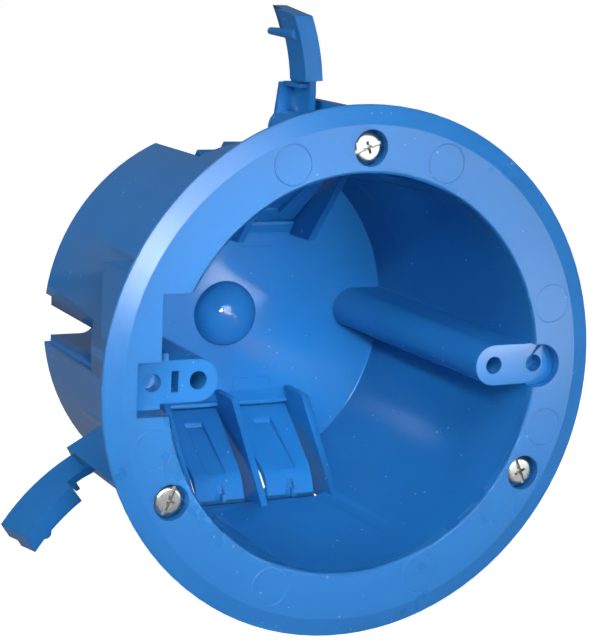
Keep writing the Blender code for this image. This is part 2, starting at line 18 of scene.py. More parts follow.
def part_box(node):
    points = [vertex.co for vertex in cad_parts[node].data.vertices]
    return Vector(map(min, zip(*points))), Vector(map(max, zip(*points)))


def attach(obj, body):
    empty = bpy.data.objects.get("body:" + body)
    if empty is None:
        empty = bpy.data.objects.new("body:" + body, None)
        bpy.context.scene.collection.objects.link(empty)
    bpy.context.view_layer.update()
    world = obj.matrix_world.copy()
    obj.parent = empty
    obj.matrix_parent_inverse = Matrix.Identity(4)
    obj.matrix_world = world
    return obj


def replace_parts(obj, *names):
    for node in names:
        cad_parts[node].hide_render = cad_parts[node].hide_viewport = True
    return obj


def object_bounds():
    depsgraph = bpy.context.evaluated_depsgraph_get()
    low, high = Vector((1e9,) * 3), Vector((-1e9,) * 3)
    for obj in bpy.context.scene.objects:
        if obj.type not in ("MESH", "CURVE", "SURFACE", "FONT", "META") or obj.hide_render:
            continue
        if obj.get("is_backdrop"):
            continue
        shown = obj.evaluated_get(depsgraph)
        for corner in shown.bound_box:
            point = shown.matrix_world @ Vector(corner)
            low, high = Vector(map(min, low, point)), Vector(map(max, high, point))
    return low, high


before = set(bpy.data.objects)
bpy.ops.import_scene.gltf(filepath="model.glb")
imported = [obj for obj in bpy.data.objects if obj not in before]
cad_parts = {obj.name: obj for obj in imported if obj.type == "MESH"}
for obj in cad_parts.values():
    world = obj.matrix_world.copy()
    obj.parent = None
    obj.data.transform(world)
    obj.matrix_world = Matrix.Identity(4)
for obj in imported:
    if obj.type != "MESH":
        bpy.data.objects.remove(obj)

MM = 0.001
WELD_DISTANCE = 0.002 * MM
FLAT_ANGLE = 0.4
CREASE_ANGLE = 24.0
BEAD_CREASE_ANGLE = 60.0
HEAD_CREASE_ANGLE = 40.0
LOG = logging.getLogger("round_box")

Point = tuple[float, float, float]
Colour = tuple[float, float, float]


class Body(Enum):
    """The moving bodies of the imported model, by what they carry."""

    BOX = "box"
    TONGUE = "tongue_{place}"
    SCREW = "screw_{place}"
    CLAMP = "clamp_{place}"

    def named(self, place: str = "") -> str:
        """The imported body's name at one station."""
        return self.value.format(place=place)


class Slot(Enum):
    """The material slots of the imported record."""

    MOULDING = "blue_moulding"
    ZINC = "zinc_plate"


def save_bounds(sizes: dict[str, list[list[float]]], stage: str) -> None:
    """Keep the object's box at one stage of the build.

    Args:
        sizes: The boxes kept so far, which this adds to.
        stage: The name the box is kept under.
    """
    low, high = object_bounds()
    sizes[stage] = [list(low), list(high)]


# Shader node groups and finishes


@dataclass
class NodeSheet:
    """A node tree with short ways to add nodes and join them."""

    tree: bpy.types.NodeTree

    def add(self, kind: str, **values: object) -> bpy.types.Node:
        """Add a node and set its properties.

        Args:
            kind: The node's Blender type.
            values: Properties of the node.

        Returns:
            The new node.
        """
        node = self.tree.nodes.new(kind)
        for name, value in values.items():
            setattr(node, name, value)
        return node

    def join(self, source: bpy.types.NodeSocket, target: bpy.types.NodeSocket) -> None:
        """Link an output to an input."""
        self.tree.links.new(source, target)

    def math(self, operation: str, first: object, second: object = 0.0) -> bpy.types.NodeSocket:
        """Add a Math node on sockets or numbers.

        Args:
            operation: The Math operation.
            first: A socket or a number.
            second: A socket or a number.

        Returns:
            The node's output.
        """
        node = self.add("ShaderNodeMath", operation=operation)
        for value, socket in zip((first, second), node.inputs):
            if isinstance(value, bpy.types.NodeSocket):
                self.join(value, socket)
            else:
                socket.default_value = value
        return node.outputs[0]

    def blend(self, mask: bpy.types.NodeSocket, low: object, high: object) -> bpy.types.NodeSocket:
        """Mix two colours by a mask.

        Args:
            mask: 0 gives low, 1 gives high.
            low: A colour or a colour socket.
            high: A colour or a colour socket.

        Returns:
            The mixed colour.
        """
        node = self.add("ShaderNodeMix", data_type="RGBA")
        self.join(mask, node.inputs[0])
        for value, socket in ((low, node.inputs[6]), (high, node.inputs[7])):
            if isinstance(value, bpy.types.NodeSocket):
                self.join(value, socket)
            else:
                socket.default_value = (*value, 1.0)
        return node.outputs[2]

    def spread(self, value: bpy.types.NodeSocket, limits: tuple[float, float]) -> bpy.types.NodeSocket:
        """Spread a value from 0 to 1 between two limits.

        Args:
            value: The value to spread.
            limits: What 0 and 1 become.

        Returns:
            The spread value.
        """
        node = self.add("ShaderNodeMapRange")
        node.inputs["To Min"].default_value = limits[0]
        node.inputs["To Max"].default_value = limits[1]
        self.join(value, node.inputs["Value"])
        return node.outputs["Result"]


def new_group(name: str, inputs: dict[str, float], outputs: Sequence[str]) -> NodeSheet:
    """Start a shader node group whose first input is a vector.

    Args:
        name: The group's name.
        inputs: Number inputs with their starting values.
        outputs: Number outputs.

    Returns:
        The group's sheet, with its input and output nodes in place.
    """
    tree = bpy.data.node_groups.new(name, "ShaderNodeTree")
    tree.interface.new_socket("Vector", in_out="INPUT", socket_type="NodeSocketVector")
    for label, value in inputs.items():
        socket = tree.interface.new_socket(label, in_out="INPUT", socket_type="NodeSocketFloat")
        socket.default_value = value
    for label in outputs:
        tree.interface.new_socket(label, in_out="OUTPUT", socket_type="NodeSocketFloat")
    sheet = NodeSheet(tree)
    sheet.add("NodeGroupInput", name="in")
    sheet.add("NodeGroupOutput", name="out")
    return sheet


def make_speck_group() -> bpy.types.NodeTree:
    """Scattered round specks, such as dust or pits.

    Returns:
        A group with the inputs Vector, Scale, Share and Size, and the output Mask.
    """
    sheet = new_group("specks", {"Scale": 300.0, "Share": 0.2, "Size": 0.2}, ["Mask"])
    given, out = sheet.tree.nodes["in"], sheet.tree.nodes["out"]
    cells = sheet.add("ShaderNodeTexVoronoi", feature="F1")
    sheet.join(given.outputs["Vector"], cells.inputs["Vector"])
    sheet.join(given.outputs["Scale"], cells.inputs["Scale"])
    pick = sheet.add("ShaderNodeSeparateColor")
    sheet.join(cells.outputs["Color"], pick.inputs[0])
    chosen = sheet.math("LESS_THAN", pick.outputs[0], given.outputs["Share"])
    reach = sheet.math("MULTIPLY", given.outputs["Size"], pick.outputs[1])
    inside = sheet.math("LESS_THAN", cells.outputs["Distance"], reach)
    sheet.join(sheet.math("MULTIPLY", chosen, inside), out.inputs["Mask"])
    return sheet.tree


def make_grain_group() -> bpy.types.NodeTree:
    """Fine surface grain over a slow cloud.

    Returns:
        A group with the inputs Vector, Fine and Slow, and the outputs Height and Cloud.
    """
    sheet = new_group("moulded_grain", {"Fine": 900.0, "Slow": 25.0}, ["Height", "Cloud"])
    given, out = sheet.tree.nodes["in"], sheet.tree.nodes["out"]
    for scale, target, detail in (("Fine", "Height", 3.0), ("Slow", "Cloud", 4.0)):
        noise = sheet.add("ShaderNodeTexNoise")
        noise.inputs["Detail"].default_value = detail
        sheet.join(given.outputs["Vector"], noise.inputs["Vector"])
        sheet.join(given.outputs[scale], noise.inputs["Scale"])
        sheet.join(noise.outputs["Fac"], out.inputs[target])
    return sheet.tree


@dataclass
class Finishes:
    """The shared node groups that the finishes draw on."""

    specks: bpy.types.NodeTree = field(default_factory=make_speck_group)
    grain: bpy.types.NodeTree = field(default_factory=make_grain_group)

    def place(
        self, sheet: NodeSheet, tree: bpy.types.NodeTree, vector: bpy.types.NodeSocket, **values: float
    ) -> bpy.types.Node:
        """Put one group in a material.

        Args:
            sheet: The material's sheet.
            tree: The group.
            vector: The coordinates it reads.
            values: Its number inputs, by name.

        Returns:
            The group node.
        """
        node = sheet.add("ShaderNodeGroup", node_tree=tree)
        sheet.join(vector, node.inputs["Vector"])
        for name, value in values.items():
            node.inputs[name].default_value = value
        return node


@dataclass(frozen=True)
class MouldedBlue:
    """Semi-gloss injection moulded plastic with soft edges, faint flow clouds and dust.

    The flange is satin, the inside polished, and the outside of the cup duller than both.
    """

    name: str = "semi_gloss_blue_moulding"
    base: Colour = (0.014, 0.156, 0.460)
    flow: Colour = (0.026, 0.182, 0.520)
    dust: Colour = (0.30, 0.48, 0.74)
    polished: tuple[float, float] = (0.10, 0.17)
    satin: tuple[float, float] = (0.24, 0.33)
    satin_depth: float = -0.4 * MM
    dull_radius: float = 46.6 * MM
    dull_share: float = 0.40
    edge_radius: float = 0.35 * MM
    grain_depth: float = 0.012 * MM
    grain_strength: float = 0.35
    flow_limits: tuple[float, float] = (0.35, 0.75)
    flow_strength: float = 0.35
    dust_strength: float = 0.40
    specular: float = 0.5
    refraction: float = 1.5

    def build(self, shared: Finishes) -> bpy.types.Material:
        """Build the material.

        Args:
            shared: The shared node groups.

        Returns:
            The finished material.
        """
        made = bpy.data.materials.new(self.name)
        made.use_nodes = True
        sheet = NodeSheet(made.node_tree)
        shader = made.node_tree.nodes["Principled BSDF"]
        where = sheet.add("ShaderNodeTexCoord").outputs["Object"]
        grain = shared.place(sheet, shared.grain, where, Fine=1400.0, Slow=38.0)
        dust = shared.place(sheet, shared.specks, where, Scale=900.0, Share=0.03, Size=0.28)
        cloud = sheet.add("ShaderNodeMapRange")
        cloud.inputs["From Min"].default_value = self.flow_limits[0]
        cloud.inputs["From Max"].default_value = self.flow_limits[1]
        sheet.join(grain.outputs["Cloud"], cloud.inputs["Value"])
        flow_share = sheet.math("MULTIPLY", cloud.outputs["Result"], self.flow_strength)
        tinted = sheet.blend(flow_share, self.base, self.flow)
        dust_share = sheet.math("MULTIPLY", dust.outputs["Mask"], self.dust_strength)
        sheet.join(sheet.blend(dust_share, tinted, self.dust), shader.inputs["Base Color"])
        depth = sheet.add("ShaderNodeSeparateXYZ")
        sheet.join(where, depth.inputs["Vector"])
        on_flange = sheet.math("LESS_THAN", depth.outputs["Y"], self.satin_depth)
        polished = sheet.spread(grain.outputs["Cloud"], self.polished)
        satin = sheet.spread(grain.outputs["Cloud"], self.satin)
        extra = sheet.math("MULTIPLY", on_flange, sheet.math("SUBTRACT", satin, polished))
        sheet.join(sheet.math("ADD", polished, extra), shader.inputs["Roughness"])
        across = sheet.math("POWER", depth.outputs["X"], 2.0)
        upward = sheet.math("POWER", depth.outputs["Z"], 2.0)
        outside = sheet.math("GREATER_THAN", sheet.math("ADD", across, upward), self.dull_radius**2)
        behind = sheet.math("GREATER_THAN", depth.outputs["Y"], -self.satin_depth)
        dulled = sheet.math("MULTIPLY", sheet.math("MULTIPLY", outside, behind), self.dull_share)
        sheet.join(sheet.math("SUBTRACT", self.specular, dulled), shader.inputs["Specular IOR Level"])
        soft_edge = sheet.add("ShaderNodeBevel", samples=6)
        soft_edge.inputs["Radius"].default_value = self.edge_radius
        bump = sheet.add("ShaderNodeBump")
        bump.inputs["Strength"].default_value = self.grain_strength
        bump.inputs["Distance"].default_value = self.grain_depth
        relief = sheet.math("ADD", grain.outputs["Height"], dust.outputs["Mask"])
        sheet.join(relief, bump.inputs["Height"])
        sheet.join(soft_edge.outputs["Normal"], bump.inputs["Normal"])
        sheet.join(bump.outputs["Normal"], shader.inputs["Normal"])
        shader.inputs["IOR"].default_value = self.refraction
        return made


@dataclass(frozen=True)
class BrightZinc:
    """Bright zinc plated steel, a little cloudy, with fine pits."""

    name: str = "bright_zinc_plate"
    base: Colour = (0.66, 0.66, 0.64)
    dull: Colour = (0.36, 0.37, 0.38)
    roughness: tuple[float, float] = (0.18, 0.42)
    pit_depth: float = 0.03 * MM
    pit_strength: float = 0.5
    stain_strength: float = 0.6
    pit_stain: float = 0.7

    def build(self, shared: Finishes) -> bpy.types.Material:
        """Build the material.

        Args:
            shared: The shared node groups.

        Returns:
            The finished material.
        """
        made = bpy.data.materials.new(self.name)
        made.use_nodes = True
        sheet = NodeSheet(made.node_tree)
        shader = made.node_tree.nodes["Principled BSDF"]
        where = sheet.add("ShaderNodeTexCoord").outputs["Object"]
        grain = shared.place(sheet, shared.grain, where, Fine=2600.0, Slow=420.0)
        pits = shared.place(sheet, shared.specks, where, Scale=1600.0, Share=0.30, Size=0.40)
        stain = sheet.math("MULTIPLY", grain.outputs["Cloud"], self.stain_strength)
        pitted = sheet.math("MULTIPLY", pits.outputs["Mask"], self.pit_stain)
        worn = sheet.math("MAXIMUM", stain, pitted)
        sheet.join(sheet.blend(worn, self.base, self.dull), shader.inputs["Base Color"])
        shader.inputs["Metallic"].default_value = 1.0
        sheet.join(sheet.spread(grain.outputs["Cloud"], self.roughness), shader.inputs["Roughness"])
        bump = sheet.add("ShaderNodeBump", invert=True)
        bump.inputs["Strength"].default_value = self.pit_strength
        bump.inputs["Distance"].default_value = self.pit_depth
        relief = sheet.math("ADD", grain.outputs["Height"], pits.outputs["Mask"])
        sheet.join(relief, bump.inputs["Height"])
        sheet.join(bump.outputs["Normal"], shader.inputs["Normal"])
        return made


# Mesh helpers


def link(name: str, mesh: bpy.types.Mesh) -> bpy.types.Object:
    """Show a mesh as an object at the origin.

    Args:
        name: The object's name.
        mesh: Its mesh.

    Returns:
        The new object.
    """
    item = bpy.data.objects.new(name, mesh)
    bpy.context.scene.collection.objects.link(item)
    return item


def evaluated_mesh(item: bpy.types.Object) -> bpy.types.Mesh:
    """The plain mesh of an object with its modifiers worked out.

    Args:
        item: The object.

    Returns:
        A new mesh.
    """
    bpy.context.view_layer.update()
    graph = bpy.context.evaluated_depsgraph_get()
    return bpy.data.meshes.new_from_object(item.evaluated_get(graph))


def settle(item: bpy.types.Object) -> bpy.types.Object:
    """Turn an object's modifiers into plain mesh.

    Args:
        item: The object to settle.

    Returns:
        The same object without modifiers.
    """
    made = evaluated_mesh(item)
    item.modifiers.clear()
    item.data = made
    return item


def shade_round_faces(mesh: bpy.types.Mesh, angle: float = CREASE_ANGLE) -> None:
    """Shade smooth and keep edges sharper than the angle in degrees."""
    mesh.shade_smooth()
    mesh.set_sharp_from_angle(angle=math.radians(angle))


def turned(profile: Sequence[tuple[float, float]], segments: int, name: str) -> bpy.types.Mesh:
    """Turn a profile of (radius, height) round the Z axis.

    Args:
        profile: Points from one pole to the other.
        segments: Steps round the axis.
        name: The mesh's name.

    Returns:
        A closed mesh with its normals outwards.
    """
    mesh = bpy.data.meshes.new(name)
    edges = [(index, index + 1) for index in range(len(profile) - 1)]
    mesh.from_pydata([(radius, 0, height) for radius, height in profile], edges, [])
    item = link(name, mesh)
    spin = item.modifiers.new("turn", "SCREW")
    spin.axis = "Z"
    spin.steps = spin.render_steps = segments
    spin.use_merge_vertices = True
    spin.merge_threshold = WELD_DISTANCE
    made = evaluated_mesh(item)
    bpy.data.objects.remove(item, do_unlink=True)
    shape = bmesh.new()
    shape.from_mesh(made)
    bmesh.ops.recalc_face_normals(shape, faces=shape.faces)
    shape.to_mesh(made)
    shape.free()
    return made


def block(size: Point, centre: Point, taper: float = 1.0) -> bpy.types.Mesh:
    """A box, narrower at its lower end by the taper.

    Args:
        size: Width, depth and height.
        centre: The middle of the box.
        taper: Scale of the lower end in width and depth.

    Returns:
        The box's mesh.
    """
    shape = bmesh.new()
    bmesh.ops.create_cube(shape, size=1.0)
    for vertex in shape.verts:
        if vertex.co.z < 0:
            vertex.co.x *= taper
            vertex.co.y *= taper
    bmesh.ops.scale(shape, vec=size, verts=shape.verts)
    bmesh.ops.translate(shape, vec=centre, verts=shape.verts)
    mesh = bpy.data.meshes.new("block")
    shape.to_mesh(mesh)
    shape.free()
    return mesh


def carve(item: bpy.types.Object, cutter_mesh: bpy.types.Mesh) -> None:
    """Cut a mesh out of an object.

    Args:
        item: The object that is cut.
        cutter_mesh: The mesh to cut away.
    """
    cutter = link("cutter", cutter_mesh)
    boolean = item.modifiers.new("carve", "BOOLEAN")
    boolean.operation = "DIFFERENCE"
    boolean.solver = "EXACT"
    boolean.object = cutter
    settle(item)
    bpy.data.objects.remove(cutter, do_unlink=True)


def welded_copy(node: str, name: str) -> bpy.types.Object:
    """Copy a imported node's mesh as one welded surface with round faces shaded smooth.

    Args:
        node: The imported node.
        name: The new piece's name.

    Returns:
        The new piece, at the origin.
    """
    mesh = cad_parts[node].data.copy()
    mesh.materials.clear()
    shape = bmesh.new()
    shape.from_mesh(mesh)
    bmesh.ops.remove_doubles(shape, verts=shape.verts, dist=WELD_DISTANCE)
    bmesh.ops.dissolve_limit(
        shape,
        angle_limit=math.radians(FLAT_ANGLE),
        use_dissolve_boundaries=False,
        verts=shape.verts,
        edges=shape.edges,
    )
    shape.to_mesh(mesh)
    shape.free()
    shade_round_faces(mesh)
    item = link(name, mesh)
    weigh = item.modifiers.new("even_normals", "WEIGHTED_NORMAL")
    weigh.keep_sharp = True
    return settle(item)


def dress(item: bpy.types.Object, material: bpy.types.Material) -> None:
    """Give a piece its only material.

    Args:
        item: The piece.
        material: Its finish.
    """
    item.data.materials.clear()
    item.data.materials.append(material)
    for face in item.data.polygons:
        face.material_index = 0


# Geometry node trees


def new_tree(name: str, numbers: dict[str, float]) -> NodeSheet:
    """Start a geometry node tree with a geometry input, number inputs and a material input.

    Args:
        name: The tree's name.
        numbers: Number inputs with their starting values.

    Returns:
        The tree's sheet, with its input and output nodes in place.
    """
    tree = bpy.data.node_groups.new(name, "GeometryNodeTree")
    tree.interface.new_socket("Geometry", in_out="INPUT", socket_type="NodeSocketGeometry")
    for label, value in numbers.items():
        socket = tree.interface.new_socket(label, in_out="INPUT", socket_type="NodeSocketFloat")
        socket.default_value = value
    tree.interface.new_socket("Material", in_out="INPUT", socket_type="NodeSocketMaterial")
    tree.interface.new_socket("Geometry", in_out="OUTPUT", socket_type="NodeSocketGeometry")
    sheet = NodeSheet(tree)
    sheet.add("NodeGroupInput", name="in")
    sheet.add("NodeGroupOutput", name="out")
    return sheet


def end_tree(sheet: NodeSheet, geometry: bpy.types.NodeSocket) -> bpy.types.NodeTree:
    """Realise the instances, set the material and end the tree.

    Args:
        sheet: The tree's sheet.
        geometry: What it has made.

    Returns:
        The finished tree.
    """
    given, out = sheet.tree.nodes["in"], sheet.tree.nodes["out"]
    real = sheet.add("GeometryNodeRealizeInstances")
    paint = sheet.add("GeometryNodeSetMaterial")
    sheet.join(geometry, real.inputs["Geometry"])
    sheet.join(real.outputs["Geometry"], paint.inputs["Geometry"])
    sheet.join(given.outputs["Material"], paint.inputs["Material"])
    sheet.join(paint.outputs["Geometry"], out.inputs["Geometry"])
    return sheet.tree


def lay_bead(sheet: NodeSheet, curves: bpy.types.NodeSocket) -> bpy.types.NodeSocket:
    """Lay a round bead, as thick as the tree's Bead Radius, along curves.

    Args:
        sheet: The tree's sheet.
        curves: The curves to follow.

    Returns:
        The beads' mesh.
    """
    bead = sheet.add("GeometryNodeCurvePrimitiveCircle")
    bead.inputs["Resolution"].default_value = 10
    sheet.join(sheet.tree.nodes["in"].outputs["Bead Radius"], bead.inputs["Radius"])
    sweep = sheet.add("GeometryNodeCurveToMesh")
    sheet.join(curves, sweep.inputs["Curve"])
    sheet.join(bead.outputs["Curve"], sweep.inputs["Profile Curve"])
    return sweep.outputs["Mesh"]


def ring_tree() -> bpy.types.NodeTree:
    """A low bead bent into a ring at every point, sized by the point's ring_radius.

    Returns:
        A tree with the inputs Geometry, Bead Radius and Material.
    """
    sheet = new_tree("ejector_rings", {"Bead Radius": 0.2 * MM})
    given = sheet.tree.nodes["in"]
    loop = sheet.add("GeometryNodeCurvePrimitiveCircle")
    loop.inputs["Resolution"].default_value = 72
    loop.inputs["Radius"].default_value = 1.0
    size = sheet.add("GeometryNodeInputNamedAttribute", data_type="FLOAT")
    size.inputs["Name"].default_value = "ring_radius"
    spread = sheet.add("GeometryNodeInstanceOnPoints")
    sheet.join(given.outputs["Geometry"], spread.inputs["Points"])
    sheet.join(loop.outputs["Curve"], spread.inputs["Instance"])
    sheet.join(size.outputs["Attribute"], spread.inputs["Scale"])
    real = sheet.add("GeometryNodeRealizeInstances")
    sheet.join(spread.outputs["Instances"], real.inputs["Geometry"])
    return end_tree(sheet, lay_bead(sheet, real.outputs["Geometry"]))


def outline_tree() -> bpy.types.NodeTree:
    """A low bead laid along every outline of edges.

    Returns:
        A tree with the inputs Geometry, Bead Radius and Material.
    """
    sheet = new_tree("bead_outlines", {"Bead Radius": 0.15 * MM})
    given = sheet.tree.nodes["in"]
    line = sheet.add("GeometryNodeMeshToCurve")
    sheet.join(given.outputs["Geometry"], line.inputs["Mesh"])
    return end_tree(sheet, lay_bead(sheet, line.outputs["Curve"]))


def thread_tree() -> bpy.types.NodeTree:
    """A screw thread: a triangular ridge wound up the Z axis.

    Returns:
        A tree with the inputs Geometry, Radius, Pitch, Turns, Ridge and Material.
    """
    numbers = {"Radius": 1.7 * MM, "Pitch": 0.8 * MM, "Turns": 20.0, "Ridge": 0.4 * MM}
    sheet = new_tree("screw_thread", numbers)
    given = sheet.tree.nodes["in"]
    coil = sheet.add("GeometryNodeCurveSpiral")
    coil.inputs["Resolution"].default_value = 28
    sheet.join(given.outputs["Turns"], coil.inputs["Rotations"])
    sheet.join(given.outputs["Radius"], coil.inputs["Start Radius"])
    sheet.join(given.outputs["Radius"], coil.inputs["End Radius"])
    height = sheet.math("MULTIPLY", given.outputs["Pitch"], given.outputs["Turns"])
    sheet.join(height, coil.inputs["Height"])
    ridge = sheet.add("GeometryNodeCurvePrimitiveCircle")
    ridge.inputs["Resolution"].default_value = 4
    sheet.join(given.outputs["Ridge"], ridge.inputs["Radius"])
    sweep = sheet.add("GeometryNodeCurveToMesh")
    sheet.join(coil.outputs["Curve"], sweep.inputs["Curve"])
    sheet.join(ridge.outputs["Curve"], sweep.inputs["Profile Curve"])
    sweep.inputs["Fill Caps"].default_value = True
    return end_tree(sheet, sweep.outputs["Mesh"])


def run_tree(
    item: bpy.types.Object,
    tree: bpy.types.NodeTree,
    material: bpy.types.Material,
    numbers: dict[str, float],
) -> bpy.types.Object:
    """Run a geometry node tree on an object and keep the result as plain mesh.

    Args:
        item: The object the tree works on.
        tree: The geometry node tree.
        material: The material the tree sets.
        numbers: Values of its number inputs, by name.

    Returns:
        The same object, without a modifier.
    """
    modifier = item.modifiers.new(tree.name, "NODES")
    modifier.node_group = tree
    for socket in tree.interface.items_tree:
        if socket.in_out != "INPUT":
            continue
        if socket.name == "Material":
            modifier[socket.identifier] = material
        elif socket.name in numbers:
            modifier[socket.identifier] = numbers[socket.name]
    return settle(item)


# Sub-assemblies


@dataclass
class MouldedBox:
    """The one-piece moulded box: flange, cup, posts, dividers and the marks of its mould.

    The pins are (x, z, radius) and the tab centres (x, z), all in millimetres.
    """

    finish: bpy.types.Material
    flange_front: float = -2.2 * MM
    back_inside: float = 69.5 * MM
    pin_bead: float = 0.20 * MM
    pin_sink: float = 0.62
    tab_bead: float = 0.14 * MM
    flange_pins: tuple[tuple[float, float, float], ...] = (
        (-17.6, 44.9, 4.2),
        (18.0, 44.8, 4.2),
        (46.3, 13.8, 4.2),
        (46.3, -14.0, 4.2),
        (-46.2, -12.4, 4.2),
        (-19.0, -44.1, 4.2),
        (16.9, -44.9, 4.2),
    )
    tab_centres: tuple[tuple[float, float], ...] = (
        (8.0, 17.8),
        (8.0, -17.8),
        (-9.75, 17.8),
        (-9.75, -17.8),
    )
    tab_size: tuple[float, float] = (10.0 * MM, 3.4 * MM)
    tab_corner: float = 1.2 * MM

    def shell(self) -> bpy.types.Object:
        """The moulding itself, as one welded surface.

        Returns:
            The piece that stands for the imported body.
        """
        item = welded_copy("box_body", "moulded_box")
        dress(item, self.finish)
        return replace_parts(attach(item, Body.BOX.named()), "box_body")

    def pin_marks(self) -> bpy.types.Object:
        """Rings that the ejector pins leave on the flange.

        Returns:
            One piece with every ring.
        """
        mesh = bpy.data.meshes.new("ejector_pin_rings")
        depth = self.flange_front + self.pin_bead * self.pin_sink
        mesh.from_pydata([(x * MM, z * MM, 0.0) for x, z, _ in self.flange_pins], [], [])
        sizes = mesh.attributes.new("ring_radius", "FLOAT", "POINT")
        sizes.data.foreach_set("value", [radius * MM for _, _, radius in self.flange_pins])
        item = link("ejector_pin_rings", mesh)
        run_tree(item, ring_tree(), self.finish, {"Bead Radius": self.pin_bead})
        stand = Matrix.Translation((0, depth, 0)) @ Matrix.Rotation(math.radians(90), 4, "X")
        item.data.transform(stand)
        shade_round_faces(item.data, BEAD_CREASE_ANGLE)
        dress(item, self.finish)
        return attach(item, Body.BOX.named())

    def tab_marks(self) -> bpy.types.Object:
        """Raised outlines on the back wall, one at each cable entry.

        Returns:
            One piece with every outline.
        """
        points: list[Point] = []
        edges: list[tuple[int, int]] = []
        half_width, half_height = (size / 2 for size in self.tab_size)
        for centre_x, centre_z in self.tab_centres:
            first = len(points)
            for turn in (0, 90, 180, 270):
                side_x = 1 if turn in (0, 270) else -1
                side_z = 1 if turn in (0, 90) else -1
                corner_x = centre_x * MM + side_x * (half_width - self.tab_corner)
                corner_z = centre_z * MM + side_z * (half_height - self.tab_corner)
                for step in range(5):
                    angle = math.radians(turn + 90 * step / 4)
                    across = corner_x + self.tab_corner * math.cos(angle)
                    height = corner_z + self.tab_corner * math.sin(angle)
                    points.append((across, self.back_inside, height))
            count = len(points) - first
            edges.extend((first + step, first + (step + 1) % count) for step in range(count))
        mesh = bpy.data.meshes.new("tab_outlines")
        mesh.from_pydata(points, edges, [])
        item = link("tab_outlines", mesh)
        run_tree(item, outline_tree(), self.finish, {"Bead Radius": self.tab_bead})
        shade_round_faces(item.data, BEAD_CREASE_ANGLE)
        dress(item, self.finish)
        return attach(item, Body.BOX.named())

    def build(self) -> list[bpy.types.Object]:
        """Build every piece of the moulding."""
        return [self.shell(), self.pin_marks(), self.tab_marks()]


@dataclass
class CableClamps:
    """The four flexing tongues that hold the cables."""

    finish: bpy.types.Material
    places: tuple[str, ...] = ("top_left", "top_right", "bottom_left", "bottom_right")

    def build(self) -> list[bpy.types.Object]:
        """Build one tongue for each cable entry.

        Returns:
            The pieces.
        """
        made = []
        for place in self.places:
            node = f"cable_clamp_{place}"
            item = welded_copy(node, f"tongue_{place}_moulding")
            dress(item, self.finish)
            made.append(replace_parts(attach(item, Body.TONGUE.named(place)), node))
        return made


@dataclass
class SwingClamps:
    """The three arms that swing out behind the wall."""

    finish: bpy.types.Material
    places: tuple[str, ...] = ("top", "lower_left", "lower_right")

    def build(self) -> list[bpy.types.Object]:
        """Build one arm for each clamp screw.

        Returns:
            The pieces.
        """
        made = []
        for place in self.places:
            node = f"swing_clamp_{place}"
            item = welded_copy(node, f"arm_{place}_moulding")
            dress(item, self.finish)
            made.append(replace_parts(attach(item, Body.CLAMP.named(place)), node))
        return made


